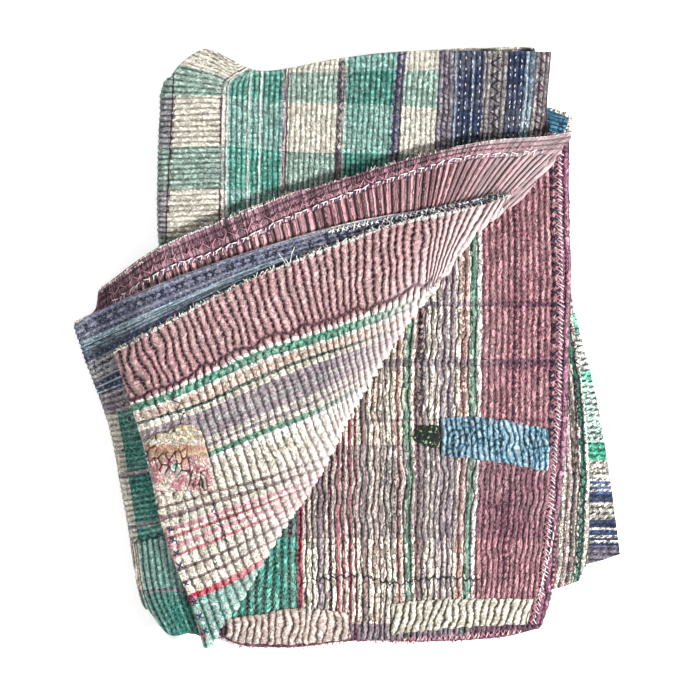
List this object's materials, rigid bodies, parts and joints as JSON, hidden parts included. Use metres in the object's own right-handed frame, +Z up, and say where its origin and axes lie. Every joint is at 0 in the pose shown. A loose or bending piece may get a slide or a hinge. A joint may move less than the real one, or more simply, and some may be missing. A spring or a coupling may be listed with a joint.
{
  "type": "folded kantha quilt",
  "caption": "Kantha quilt of layered cotton with stitched rows, folded back and forth into a loose stack with its corner turned over, and with cloth patches sewn on.",
  "frame": {"origin": "middle of the floor area that the folded quilt covers, on the surface it lies on", "axes": "+Z up, +X towards the side with the panel's long fold, +Y towards the end with the check layer"},
  "size_m": [0.4934, 0.5442, 0.0439],
  "materials": {
    "quilted_cotton": "matte, row-stitched",
    "light_blue_cotton": "matte, row-stitched",
    "dark_green_cotton": "matte, printed",
    "flower_print_cotton": "matte, printed",
    "cream_cotton": "matte, row-stitched",
    "beige_cotton": "matte, row-stitched",
    "bright_blue_cotton": "matte, row-stitched"
  },
  "bodies": {
    "root": {"quilt": "quilted_cotton", "blue_patch": "light_blue_cotton", "green_patch": "dark_green_cotton", "print_patch": "flower_print_cotton", "cream_strip": "cream_cotton", "beige_strip": "beige_cotton", "corner_scrap": "bright_blue_cotton"}
  },
  "joints": []
}
